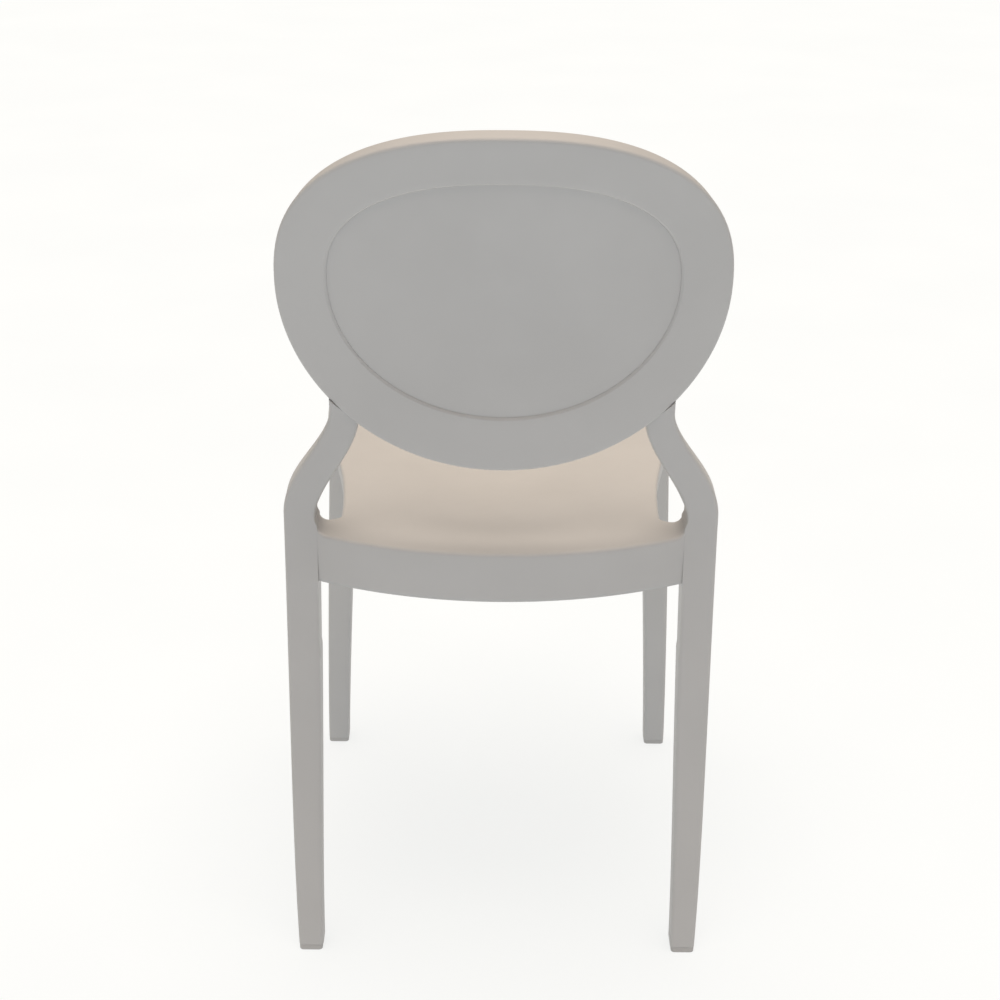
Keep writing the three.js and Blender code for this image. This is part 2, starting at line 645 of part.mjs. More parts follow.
function seatShell() {
  const plan = seatPlan();
  const inset = drawnIn(plan, SEAT_EDGE_RADIUS);
  const inner = drawnIn(plan, SEAT_WALL);
  const innerInset = drawnIn(plan, SEAT_WALL + SEAT_EDGE_RADIUS);
  const centre = new THREE.Vector2(0, SEAT_CENTRE_Y);
  const ringOf = (outline, heightAt) =>
    outline.map((p, i) => new THREE.Vector3(p.x, p.y, heightAt(p, plan[i])));
  const dished = (outline, s, below) =>
    outline.map((p, i) => {
      const rim = THREE.MathUtils.lerp(SEAT_RIM, rimHeight(plan[i].y), s ** 3);
      const flat = centre.clone().lerp(p, s);
      return new THREE.Vector3(flat.x, flat.y, rim - SEAT_DISH * (1 - s * s) ** 2 - below);
    });
  const edge = steps(0, Math.PI / 2, EDGE_STEPS).slice(1);
  const rings = DISH_SHARES.map((s) => dished(inset, s, 0));
  for (const a of edge) {
    const out = SEAT_EDGE_RADIUS * (1 - Math.sin(a));
    const down = SEAT_EDGE_RADIUS * (1 - Math.cos(a));
    rings.push(ringOf(drawnIn(plan, out), (p, q) => rimHeight(q.y) - down));
  }
  rings.push(ringOf(plan, (p, q) => apronBottom(q.y)));
  rings.push(ringOf(inner, (p, q) => apronBottom(q.y)));
  rings.push(ringOf(inner, (p, q) => rimHeight(q.y) - SEAT_WALL - SEAT_EDGE_RADIUS));
  rings.push(...DISH_SHARES.toReversed().map((s) => dished(innerInset, s, SEAT_WALL)));
  return loft(rings);
}

// The block that joins the seat's rear corner to a rear leg, with its tongue. Its top climbs to the
// leg in a hollow round as high as the rim is low.
function cornerBlock() {
  const face = REAR_INNER_FACE - GAP;
  const front = SEAT_REAR_Y - BLOCK_DEPTH;
  const shape = new THREE.Shape();
  const middle = SEAT_REAR_Y + SEAT_REAR_BOW - REAR_RADIUS;
  const rearAt = (x) => Math.acos(x / REAR_RADIUS);
  shape.absarc(0, middle, REAR_RADIUS - GAP, rearAt(BLOCK_INNER), rearAt(face), true);
  shape.lineTo(face, front);
  shape.quadraticCurveTo(SEAT_WAIST, front, SEAT_WAIST, front - BLOCK_FILLET);
  shape.lineTo(BLOCK_INNER, front - BLOCK_FILLET);
  const bottom = SEAT_RIM - APRON_REAR;
  const top = new THREE.Shape();
  const fillet = SEAT_RIM_DROP + BLOCK_SINK;
  top.moveTo(BLOCK_INNER - 1, bottom - 1);
  top.lineTo(face + 1, bottom - 1);
  top.lineTo(face + 1, SEAT_HEIGHT);
  top.absarc(face - fillet, SEAT_HEIGHT, fillet, 0, -Math.PI / 2, true);
  top.lineTo(BLOCK_INNER - 1, SEAT_HEIGHT - fillet);
  const column = extruded(shape, SEAT_HEIGHT - bottom).translate(0, 0, bottom);
  const under = extruded(top, SEAT_LENGTH).rotateX(Math.PI / 2);
  return solid(column).intersect(solid(under)).add(tongue(0));
}

// The socket in the seat's front corner that takes a front leg's plug.
function cornerSocket() {
  const wall = PLUG_WALL - GAP - SEAT_WALL;
  const top = SEAT_RIM + SEAT_FRONT_RISE - SEAT_WALL;
  return loft([FRONT_SHOULDER + GAP, top].map((z) => legRing(plugSection, z, wall)));
}

function plugSpace() {
  const heights = [FRONT_SHOULDER - GAP, PLUG_TOP + GAP];
  return loft(heights.map((z) => legRing(plugSection, z, PLUG_WALL - GAP)));
}

const mirrored = (body) => mapped(body, (p) => new THREE.Vector3(-p.x, p.y, p.z));

function bothSides(body, operation, tool) {
  return body[operation](tool)[operation](mirrored(tool));
}

function seat() {
  let made = seatShell();
  made = bothSides(made, "add", cornerBlock());
  made = bothSides(made, "add", cornerSocket());
  made = bothSides(made, "subtract", plugSpace());
  for (const start of blockScrewStarts) {
    made = bothSides(made, "subtract", screwHole(BLOCK_SCREW, start, OUTWARD));
  }
  for (const { start, axis } of plugScrewStarts()) {
    made = bothSides(made, "subtract", screwHole(PLUG_SCREW, start, axis));
  }
  return made;
}

function back() {
  let flat = backShell();
  const within = loft([BACK_WALL, BACK_THICKNESS - BACK_WALL / 2].map((y) => eggRing(-1, y)));
  flat = bothSides(flat, "add", tenonSleeve().intersect(within));
  flat = bothSides(flat, "subtract", tenonSlot());
  for (const place of backScrewPlaces) {
    flat = bothSides(flat, "subtract", backScrew(place, GAP));
  }
  return mapped(flat, ontoBack);
}

// ---- Assembly ----

const chair = new THREE.Group();
chair.name = "stacking_chair";

function addMesh(name, body, look) {
  const geometry = geometryOf(body);
  geometry.computeVertexNormals();
  const mesh = new THREE.Mesh(geometry, new THREE.MeshStandardMaterial(look));
  mesh.name = name;
  chair.add(mesh);
}

// Adds a piece of the left side and its mirror image on the right.
function addPair(before, after, body, look) {
  addMesh(`${before}left${after}`, body, look);
  addMesh(`${before}right${after}`, mirrored(body), look);
}

addMesh("seat", seat(), PLASTIC);
addMesh("back_shell", back(), PLASTIC);
addMesh("back_panel", backPanel(), PLASTIC);
addPair("rear_leg_", "", rearLeg(), PLASTIC);
addPair("front_leg_", "", frontLeg(), PLASTIC);
addPair("rear_foot_", "", glide(rearLegSection), GLIDE_PLASTIC);
addPair("front_foot_", "", glide(frontLegSection), GLIDE_PLASTIC);
for (const [i, level] of ["lower", "upper"].entries()) {
  addPair("rear_leg_screw_", `_${level}`, panHead(BLOCK_SCREW, blockScrewStarts[i], OUTWARD), STEEL);
  addPair("back_screw_", `_${level}`, mapped(backScrew(backScrewPlaces[i]), ontoBack), STEEL);
}
for (const { place, start, axis } of plugScrewStarts()) {
  addPair("front_leg_screw_", `_${place}`, panHead(PLUG_SCREW, start, axis), STEEL);
}

// The origin goes to the middle of the chair's footprint.
const extent = new THREE.Box3().setFromObject(chair);
chair.position.y = -(extent.min.y + extent.max.y) / 2;

export default chair;
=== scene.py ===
"""Looks of the stacking chair: fine moulded meshes, plastic materials, studio and camera.

Lengths are metres in the frame's own axes: +Z up, the sitter faces -Y, and the sitter's left is +X.
Shapes are first made with y = 0 at the rear face of the rear feet, as in the CAD, and then put in
place by `home`.
"""

import math

import bpy
import numpy as np
from mathutils import Euler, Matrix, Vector


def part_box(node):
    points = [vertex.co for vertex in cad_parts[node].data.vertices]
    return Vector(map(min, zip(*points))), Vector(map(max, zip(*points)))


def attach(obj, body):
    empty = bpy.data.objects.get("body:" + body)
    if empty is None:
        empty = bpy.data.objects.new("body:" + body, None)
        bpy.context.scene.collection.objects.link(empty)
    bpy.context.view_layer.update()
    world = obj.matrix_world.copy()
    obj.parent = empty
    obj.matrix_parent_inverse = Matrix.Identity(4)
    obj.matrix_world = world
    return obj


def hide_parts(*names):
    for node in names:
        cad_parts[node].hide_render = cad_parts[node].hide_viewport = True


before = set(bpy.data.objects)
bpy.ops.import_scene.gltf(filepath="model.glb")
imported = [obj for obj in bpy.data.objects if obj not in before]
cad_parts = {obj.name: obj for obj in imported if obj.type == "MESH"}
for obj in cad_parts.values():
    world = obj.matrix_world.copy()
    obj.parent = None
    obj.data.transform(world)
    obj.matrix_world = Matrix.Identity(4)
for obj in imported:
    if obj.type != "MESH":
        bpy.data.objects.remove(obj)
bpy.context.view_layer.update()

MM = 0.001
SIDES = {"left": 1, "right": -1}

# ---- The same driving dimensions as the CAD ----
GAP = 0.3 * MM
SEAT_HEIGHT = 470 * MM
SEAT_RIM_DROP = 8 * MM
SEAT_FRONT_RISE = 2 * MM
SEAT_DISH = 11 * MM
DISH_MIDDLE = 0.44
SEAT_WALL = 4.5 * MM
SEAT_EDGE_RADIUS = 4 * MM
SEAT_REAR_BOW = 46 * MM
WAIST_GAP = 21 * MM
SIDE_OVERHANG = 0.5 * MM
FRONT_OVERHANG = 15 * MM
SEAT_CORNER_RADIUS = 24 * MM
SEAT_FRONT_BOW = 8 * MM
WAIST_RUN = 12 * MM
FLARE = {"rear": 0.47, "front": 0.4}
APRON_REAR = 52.5 * MM
APRON_SIDE = 16 * MM
APRON_FRONT = 42 * MM
APRON_FALL = 26 * MM
APRON_RAMP = 108 * MM

REAR_LEG_X = 203 * MM
REAR_LEG_WIDTH = 33.7 * MM
REAR_LEG_DEPTH = 40 * MM
REAR_LEG_SWEEP = 66 * MM
REAR_LEG_CURVE = 1.6
REAR_FOOT_TUCK = 6
FRONT_LEG_X = 185.9 * MM
FRONT_LEG_WIDTH = 32.4 * MM
FRONT_LEG_DEPTH = 40 * MM
FRONT_LEG_CURVE = 1.3
FOOT_X = 199.6 * MM
FRONT_FOOT_X = 201.4 * MM
FOOT_WIDTH = 25 * MM
FOOT_DEPTH = 27 * MM
WHEELBASE = 440 * MM
LEG_WALL = 4 * MM
LEG_CORNER_RADIUS = 4 * MM
GLIDE_HEIGHT = 6 * MM
GLIDE_CHAMFER = 1.2 * MM
SPIGOT_HEIGHT = 16 * MM

BACK_HALF_WIDTH = 219.5 * MM
BACK_RISE = 264 * MM
BACK_UPPER = 157.4 * MM
BACK_LOWER = 190 * MM
BACK_UPPER_POWER = 2.34
BACK_LOWER_POWER = 2.05
BACK_THICKNESS = 18 * MM
BACK_EDGE_RADIUS = 4 * MM
BACK_RADIUS = 600 * MM
BACK_LEAN = 0.118
BACK_CURL = 0.00041 / MM
BACK_SETBACK = 31 * MM
PANEL_INSET = 52 * MM
PANEL_RAISE = 0.12
PANEL_THICKNESS = 2.5 * MM
PANEL_RECESS = 2.2 * MM

JOINT_X = 155 * MM
UPRIGHT_WIDTH = 29.5 * MM
UPRIGHT_SWAY = (0.1, 1.02)
UPRIGHT_INSET = 2.2 * MM
NECK_DEPTH = 2.3 * MM
NECK_MIDDLE = 7 * MM
NECK_END = 36 * MM

BLOCK_DEPTH = 38 * MM
BLOCK_FILLET = 14 * MM
BLOCK_OVERLAP = 7 * MM

# ---- Sizes that only the looks need ----
CORNER_FILLET = 10.5 * MM  # hollow round from the seat's rear corner up into the upright
FILLET_BURIED = 0.8 * MM  # how far inside the leg that round would turn upright
SEAT_BURIED = 0.6 * MM  # how far the seat's ends run into the rear legs, so that no gap shows
RECESS_BEVEL = 2.2 * MM  # bevel where the ring drops to the rear panel
PANEL_EDGE = 0.3 * MM
CREASE_RADIUS = 0.5 * MM  # a rear leg's corner where the seat's skirt meets it
LEG_STEP = 0.8 * MM  # thicker lower part of a rear leg's inner face
LEG_STEP_RAMP = (326 * MM, 334 * MM)
TUCK = 1 * MM  # how far an upright runs in under the rounded edge of the back
EGG_STEPS = 288
CORNER_STEPS = 6
ROUND_STEPS = 7

# ---- Worked out from them ----
BACK_CENTRE = SEAT_HEIGHT + BACK_RISE
SEAT_REAR_Y = -REAR_LEG_SWEEP
REAR_INNER_FACE = REAR_LEG_X - REAR_LEG_WIDTH / 2
SEAT_FACE = REAR_INNER_FACE + SEAT_BURIED
SEAT_WAIST = REAR_INNER_FACE - WAIST_GAP
SEAT_FRONT_HALF = FRONT_LEG_X + FRONT_LEG_WIDTH / 2 + SIDE_OVERHANG
REAR_RADIUS = (REAR_INNER_FACE**2 + SEAT_REAR_BOW**2) / (2 * SEAT_REAR_BOW)
FRONT_LEG_REAR = FRONT_LEG_DEPTH - FOOT_DEPTH - WHEELBASE
SEAT_FRONT_Y = FRONT_LEG_REAR - FRONT_LEG_DEPTH - FRONT_OVERHANG
SEAT_LENGTH = SEAT_REAR_Y - SEAT_FRONT_Y
SEAT_CENTRE_Y = SEAT_REAR_Y - SEAT_LENGTH * DISH_MIDDLE
SEAT_RIM = SEAT_HEIGHT - SEAT_RIM_DROP
BLOCK_INNER = SEAT_WAIST - BLOCK_OVERLAP
PANEL_FLOOR = PANEL_RECESS + PANEL_THICKNESS + GAP
BLOCK_FRONT_Y = SEAT_REAR_Y - BLOCK_DEPTH

# The rear leg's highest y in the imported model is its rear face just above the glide.
REAR_FACE_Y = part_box("rear_leg_left")[1].y + REAR_LEG_SWEEP * (
    1 - (1 - GLIDE_HEIGHT / SEAT_HEIGHT) ** REAR_LEG_CURVE
)


# ---- Number helpers ----


def lerp(a, b, t):
    return a + (b - a) * t


def smooth(t, start, end):
    t = np.clip((np.asarray(t, float) - start) / (end - start), 0, 1)
    return t * t * (3 - 2 * t)


def superellipse(distance, power):
    return (1 - distance**power) ** (1 / power)


JOINT_Z = BACK_CENTRE - BACK_LOWER * superellipse(JOINT_X / BACK_HALF_WIDTH, BACK_LOWER_POWER)
JOINT_RISE = JOINT_Z - SEAT_HEIGHT


def rim_height(y):
    return SEAT_RIM + SEAT_FRONT_RISE * smooth((SEAT_REAR_Y - y) / SEAT_LENGTH, 0.5, 1)


FRONT_SHOULDER = float(rim_height(FRONT_LEG_REAR)) - APRON_FRONT - GAP


def through(pairs):
    """A smooth function through (position, value) pairs, level beyond them."""

    def value(position):
        for (x0, y0), (x1, y1) in zip(pairs, pairs[1:]):
            if position <= x1:
                return float(lerp(y0, y1, smooth(position, x0, x1)))
        return pairs[-1][1]

    return value


# ---- Mesh helpers ----


def home(points):
    """Moves points made from the rear feet's rear face into the frame."""
    placed = np.array(points, float)
    placed[:, 1] += REAR_FACE_Y
    return placed


def make_object(name, points, faces, sharp=math.radians(40)):
    mesh = bpy.data.meshes.new(name)
    mesh.from_pydata([tuple(p) for p in home(points)], [], faces)
    mesh.validate()
    mesh.shade_smooth()
    mesh.set_sharp_from_angle(angle=sharp)
    piece = bpy.data.objects.new(name, mesh)
    bpy.context.scene.collection.objects.link(piece)
    return piece


def ring_faces(levels, count, first=0):
    """Quads between successive closed rings of `count` points."""
    faces = []
    for level in range(levels - 1):
        for i in range(count):
            a = first + level * count + i
            b = first + level * count + (i + 1) % count
            faces.append((a, b, b + count, a + count))
    return faces


def loft(rings, flip=False):
    """Points and faces of a closed skin over rings, with a fan over each end."""
    count = len(rings[0])
    points = [p for ring in rings for p in ring]
    faces = ring_faces(len(rings), count)
    for start, turned in ((0, True), ((len(rings) - 1) * count, False)):
        middle = len(points)
        points.append(np.mean(points[start : start + count], axis=0))
        for i in range(count):
            a = start + i
            b = start + (i + 1) % count
            faces.append((b, a, middle) if turned else (a, b, middle))
    if flip:
        faces = [tuple(reversed(face)) for face in faces]
    return points, faces


def mirror(points, faces, side):
    if side > 0:
        return points, faces
    return [(-p[0], p[1], p[2]) for p in points], [tuple(reversed(face)) for face in faces]


def rounded_box(width, depth, radius, inner_rear=None, steps=CORNER_STEPS):
    """A box outline about its own middle, as (x, y), counterclockwise. Its corners are round."""
    outline = []
    radii = (radius, radius if inner_rear is None else inner_rear, radius, radius)
    for quarter, (sx, sy) in enumerate(((1, 1), (-1, 1), (-1, -1), (1, -1))):
        radius = radii[quarter]
        centre = (sx * (width / 2 - radius), sy * (depth / 2 - radius))
        for step in range(steps + 1):
            angle = (quarter + step / steps) * math.pi / 2
            outline.append(
                (centre[0] + radius * math.cos(angle), centre[1] + radius * math.sin(angle))
            )
    return outline


def arc(radius, steps=ROUND_STEPS):
    """A quarter round as (inwards, downwards) pairs, from its flat top to its upright side."""
    angles = [math.pi / 2 * i / steps for i in range(steps + 1)]
    return [(radius * (1 - math.sin(a)), radius * (1 - math.cos(a))) for a in angles]


# ---- The egg and the curved sheet of the back ----


def egg_ring(grow, depth, shrink=1.0):
    ring = []
    for i in range(EGG_STEPS):
        angle = 2 * math.pi * i / EGG_STEPS
        above = math.sin(angle) >= 0
        power = 2 / (BACK_UPPER_POWER if above else BACK_LOWER_POWER)
        reach = (BACK_UPPER if above else BACK_LOWER) + grow
        across = math.copysign(abs(math.cos(angle)) ** power, math.cos(angle))
        up = math.copysign(abs(math.sin(angle)) ** power, math.sin(angle))
        x = (BACK_HALF_WIDTH + grow) * across
        z = -PANEL_RAISE * grow + reach * up
        ring.append((x * shrink, depth, BACK_CENTRE + z * shrink))
    return ring


def onto_back(point):
    """Lays a flat place (x, depth below the rear face, z) onto the curved sheet of the back."""
    x, depth, z = point
    rise = z - JOINT_Z
    slope = BACK_LEAN + 2 * BACK_CURL * rise
    y = BACK_LEAN * rise + BACK_CURL * rise**2 - BACK_SETBACK - x**2 / (2 * BACK_RADIUS)
    forward = np.array((-x / BACK_RADIUS, -1.0, slope))
    forward /= np.linalg.norm(forward)
    return np.array((x, y, z)) + forward * depth


def bent(rings):
    return [[onto_back(p) for p in ring] for ring in rings]


SHARES = [0.06, 0.15, 0.28, 0.42, 0.56, 0.7, 0.84, 0.93, 1.0]


def back_shell():
    ring = -PANEL_INSET
    rings = [egg_ring(ring, PANEL_FLOOR, s) for s in SHARES]
    bevel = ((0, 1), (0.06, 0.88), (0.85, 0.1), (0.95, 0.03), (1.12, 0))
    rings += [egg_ring(ring + RECESS_BEVEL * out, RECESS_BEVEL * down) for out, down in bevel]
    rings += [egg_ring(ring + share * (PANEL_INSET - BACK_EDGE_RADIUS), 0) for share in (0.2, 0.5, 0.8)]
    for inward, down in arc(BACK_EDGE_RADIUS):
        rings.append(egg_ring(-inward, down))
    for inward, down in reversed(arc(BACK_EDGE_RADIUS)):
        rings.append(egg_ring(-inward, BACK_THICKNESS - down))
    rings += [egg_ring(-BACK_EDGE_RADIUS, BACK_THICKNESS, s) for s in reversed(SHARES[:-1])]
    return make_object("back_shell_moulding", *loft(bent(rings), flip=True))


def back_panel():
    rim = -PANEL_INSET - GAP / 6
    rings = [egg_ring(rim - PANEL_EDGE, PANEL_RECESS, s) for s in SHARES]
    for inward, down in arc(PANEL_EDGE, 4)[1:]:
        rings.append(egg_ring(rim - inward, PANEL_RECESS + down))
    front = PANEL_RECESS + PANEL_THICKNESS
    rings += [egg_ring(rim, front, s) for s in reversed(SHARES)]
    return make_object("back_panel_plate", *loft(bent(rings), flip=True))


# ---- Legs ----

JOINT_REAR_Y = onto_back((JOINT_X, UPRIGHT_INSET, JOINT_Z))[1]
neck_at = through([(0, 0), (NECK_MIDDLE, NECK_DEPTH), (NECK_END, 0)])


def rear_leg_section(z):
    """Middle x, width, rear y and depth of a rear leg at a height."""
    if z <= SEAT_HEIGHT:
        t = z / SEAT_HEIGHT
        return (
            lerp(REAR_LEG_X, FOOT_X, (1 - t) ** REAR_FOOT_TUCK),
            lerp(REAR_LEG_WIDTH, FOOT_WIDTH, (1 - t) ** 2),
            -REAR_LEG_SWEEP * (1 - (1 - t) ** REAR_LEG_CURVE),
            lerp(FOOT_DEPTH, REAR_LEG_DEPTH, t),
        )
    t = (z - SEAT_HEIGHT) / JOINT_RISE
    shift = REAR_LEG_X - JOINT_X

    def middle(u):
        return REAR_LEG_X - shift * float(smooth(u, *UPRIGHT_SWAY))

    slope = (middle(t + 0.01) - middle(t - 0.01)) / (0.02 * JOINT_RISE)
    across = lerp(REAR_LEG_WIDTH, UPRIGHT_WIDTH, min(t, 1) ** 2)
    slim = BACK_THICKNESS - 2 * UPRIGHT_INSET
    neck = neck_at(z - SEAT_HEIGHT)
    return (
        middle(t) + neck / 2,
        across * math.hypot(1, slope) - neck,
        lerp(-REAR_LEG_SWEEP, JOINT_REAR_Y, t**REAR_LEG_CURVE),
        lerp(REAR_LEG_DEPTH, slim, float(smooth(t, 0, 1))),
    )


def front_leg_section(z):
    t = z / FRONT_SHOULDER
    return (
        lerp(FRONT_FOOT_X, FRONT_LEG_X, t**FRONT_LEG_CURVE),
        lerp(FOOT_WIDTH, FRONT_LEG_WIDTH, t),
        lerp(-WHEELBASE, FRONT_LEG_REAR, t),
        lerp(FOOT_DEPTH, FRONT_LEG_DEPTH, t),
    )


def leg_ring(section, z, inset=0.0, inner_rear=None):
    x, width, rear, depth = section
    radius = LEG_CORNER_RADIUS - inset / 2
    outline = rounded_box(width - 2 * inset, depth - 2 * inset, radius, inner_rear)
    return [(x + px, rear - depth / 2 + py, z) for px, py in outline]


# The corner that the seat's skirt runs into is crisp as far as they touch.
crease_at = through(
    [
        (SEAT_RIM - APRON_REAR - 14 * MM, LEG_CORNER_RADIUS),
        (SEAT_RIM - APRON_REAR, CREASE_RADIUS),
        (SEAT_RIM, CREASE_RADIUS),
        (SEAT_HEIGHT + NECK_END, LEG_CORNER_RADIUS),
    ]
)


def rear_leg_ring(z):
    """A rear leg's outline, with the thicker lower part of its inner face."""
    x, width, rear, depth = rear_leg_section(z)
    step = LEG_STEP * (1 - float(smooth(z, *LEG_STEP_RAMP)))
    return leg_ring((x - step / 2, width + step, rear, depth), z, inner_rear=crease_at(z))


def inside_egg(x, z):
    above = z >= BACK_CENTRE
    power = BACK_UPPER_POWER if above else BACK_LOWER_POWER
    reach = (BACK_UPPER if above else BACK_LOWER) - TUCK
    across = abs(x) / (BACK_HALF_WIDTH - TUCK)
    return across**power + (abs(z - BACK_CENTRE) / reach) ** power < 1


def column_top(column, low):
    """The height at which one column of an upright's outline reaches the edge of the back."""
    high = low
    while not inside_egg(rear_leg_ring(high)[column][0], high):
        high += 2 * MM
    below = high - 2 * MM
    for _ in range(12):
        middle = (below + high) / 2
        x = rear_leg_ring(middle)[column][0]
        below, high = (below, middle) if inside_egg(x, middle) else (middle, high)
    return below


def rear_leg(side):
    straight = [*np.linspace(GLIDE_HEIGHT, 60 * MM, 14), *np.linspace(68 * MM, 324 * MM, 30)]
    straight += [*np.linspace(*LEG_STEP_RAMP, 5), *np.linspace(338 * MM, SEAT_HEIGHT, 26)]
    straight += [SEAT_HEIGHT + rise * MM for rise in (1, 2, 3.2, 4.5, 5.8, 7, 9, 11.5, 14, 18)]
    rings = [rear_leg_ring(z) for z in straight]
    base = straight[-1]
    tops = [column_top(i, base) for i in range(len(rings[0]))]
    for share in np.linspace(0, 1, 56)[1:]:
        heights = [lerp(base, top, share) for top in tops]
        rings.append([rear_leg_ring(z)[i] for i, z in enumerate(heights)])
    points, faces = mirror(*loft(rings), SIDES[side])
    return make_object(f"rear_leg_{side}_moulding", points, faces)


def front_leg(side):
    heights = np.linspace(GLIDE_HEIGHT, FRONT_SHOULDER, 40)
    rings = [leg_ring(front_leg_section(z), z) for z in heights]
    rings.append(leg_ring(front_leg_section(FRONT_SHOULDER), FRONT_SHOULDER + GAP, GAP))
    points, faces = mirror(*loft(rings), SIDES[side])
    return make_object(f"front_leg_{side}_moulding", points, faces)


def glide(place, side, section_at):
    plug = LEG_WALL + GAP
    levels = [(down, inset + GAP) for inset, down in arc(GLIDE_CHAMFER, 4)]
    shoulder = GLIDE_HEIGHT - GAP
    levels += [(shoulder, GAP), (shoulder, plug), (SPIGOT_HEIGHT, plug)]
    rings = [leg_ring(section_at(z), z, inset) for z, inset in levels]
    points, faces = mirror(*loft(rings), SIDES[side])
    return make_object(f"{place}_foot_{side}_glide", points, faces)


# ---- Seat ----


def rear_edge_y(x):
    """The rear arc of the seat."""
    return SEAT_REAR_Y + SEAT_REAR_BOW - REAR_RADIUS + np.sqrt(REAR_RADIUS**2 - np.square(x))


def quadratic(a, b, c, t):
    return tuple((1 - t) ** 2 * p + 2 * t * (1 - t) * q + t * t * r for p, q, r in zip(a, b, c))


def cubic(a, b, c, d, t):
    return tuple(
        (1 - t) ** 3 * p + 3 * t * (1 - t) ** 2 * q + 3 * t * t * (1 - t) * r + t**3 * s
        for p, q, r, s in zip(a, b, c, d)
    )


EDGE_DISTANCES = [d * MM for d in (0, 0.06, 0.22, 0.55, 1, 1.6, 2.3, 3.1, 4, 5.2, 6.6, 8.2, 10, 13, 17)]


BLOCK_DISTANCES = EDGE_DISTANCES + [d * MM for d in (21, 25, 29, 32, 34.5, 36.3, 37.4)]


def seat_side():
    """The left side of the seat's outline from its rear corner to its front edge, as (x, y)."""
    waist_y = BLOCK_FRONT_Y - WAIST_RUN
    corner_y = SEAT_FRONT_Y + SEAT_FRONT_BOW + SEAT_CORNER_RADIUS
    half = SEAT_FRONT_HALF
    side = [(SEAT_FACE, SEAT_REAR_Y - d) for d in BLOCK_DISTANCES]
    corner = ((SEAT_FACE, BLOCK_FRONT_Y), (SEAT_WAIST, BLOCK_FRONT_Y), (SEAT_WAIST, waist_y))
    side += [quadratic(*corner, t) for t in np.linspace(0, 1, 17)]
    run = corner_y - waist_y
    flare = (
        (SEAT_WAIST, waist_y),
        (SEAT_WAIST, waist_y + run * FLARE["rear"]),
        (half, corner_y - run * FLARE["front"]),
        (half, corner_y),
    )
    side += [cubic(*flare, t) for t in np.linspace(0, 1, 44)[1:]]
    for angle in np.linspace(0, math.pi / 2, 15)[1:]:
        side.append(
            (
                half - SEAT_CORNER_RADIUS * (1 - math.cos(angle)),
                corner_y - SEAT_CORNER_RADIUS * math.sin(angle),
            )
        )
    return side


def row_columns(half):
    """Places across a row that ends at x = half, close together near both ends."""
    edge = [half - d for d in EDGE_DISTANCES]
    inner = np.linspace(edge[-1], 0, 20)[1:-1]
    right = edge + list(inner)
    return [-x for x in right] + [0.0] + right[::-1]


def seat_plan_rows():
    """Rows of (x, y) across the seat from its rear arc to its front edge."""
    rows = []
    for half, y in seat_side():
        share = (SEAT_REAR_Y - y) / SEAT_LENGTH
        row = []
        for x in row_columns(half):
            rear = (rear_edge_y(x) - SEAT_REAR_Y) * max(1 - share, 0) ** 2
            ends = (rear_edge_y(half) - SEAT_REAR_Y) * max(1 - share, 0) ** 2
            front = SEAT_FRONT_BOW * (1 - (x / half) ** 2) * share**2
            row.append((x, y + rear - ends - front))
        rows.append(row)
    return rows


def distance_to(points, path):
    """Distance from each point to a polyline."""
    best = np.full(len(points), np.inf)
    for a, b in zip(path[:-1], path[1:]):
        along = b - a
        t = np.clip(((points - a) @ along) / max(along @ along, 1e-18), 0, 1)
        best = np.minimum(best, np.linalg.norm(points - a - t[:, None] * along, axis=1))
    return best


DISH_POWER = 2.6  # how square the outline of the dish is
SKIRT_LEVELS = 15


def seat_height_at(x, y):
    """The seat's smooth top, without its rounded edge."""
    share = np.clip((SEAT_REAR_Y - y) / SEAT_LENGTH, 0, 1)
    half = lerp(SEAT_WAIST, SEAT_FRONT_HALF, smooth(share, 0.15, 0.9))
    length = np.where(y > SEAT_CENTRE_Y, SEAT_LENGTH * DISH_MIDDLE, SEAT_LENGTH * (1 - DISH_MIDDLE))
    length = length + np.where(y > SEAT_CENTRE_Y, SEAT_REAR_BOW, 0)
    across = np.abs(x / half) ** DISH_POWER
    along = np.abs((y - SEAT_CENTRE_Y) / length) ** DISH_POWER
    out = (across + along) ** (1 / DISH_POWER)
    dish = SEAT_DISH * np.clip(1 - out**2, 0, 1) ** 2
    return rim_height(y) - dish


def corner_rise(x, y):
    """The hollow round that climbs from the seat's rear corners to the uprights."""
    inward = np.clip(1 - (REAR_INNER_FACE + FILLET_BURIED - np.abs(x)) / CORNER_FILLET, 0, 1)
    fillet = CORNER_FILLET * (1 - np.sqrt(1 - inward**2))
    return fillet * smooth(y, BLOCK_FRONT_Y - BLOCK_FILLET, BLOCK_FRONT_Y)


apron_at = through(
    [
        (FRONT_LEG_REAR, APRON_FRONT),
        (FRONT_LEG_REAR + APRON_RAMP, APRON_SIDE),
        (BLOCK_FRONT_Y - BLOCK_FILLET - APRON_FALL, APRON_SIDE),
        (BLOCK_FRONT_Y - BLOCK_FILLET, APRON_REAR),
    ]
)


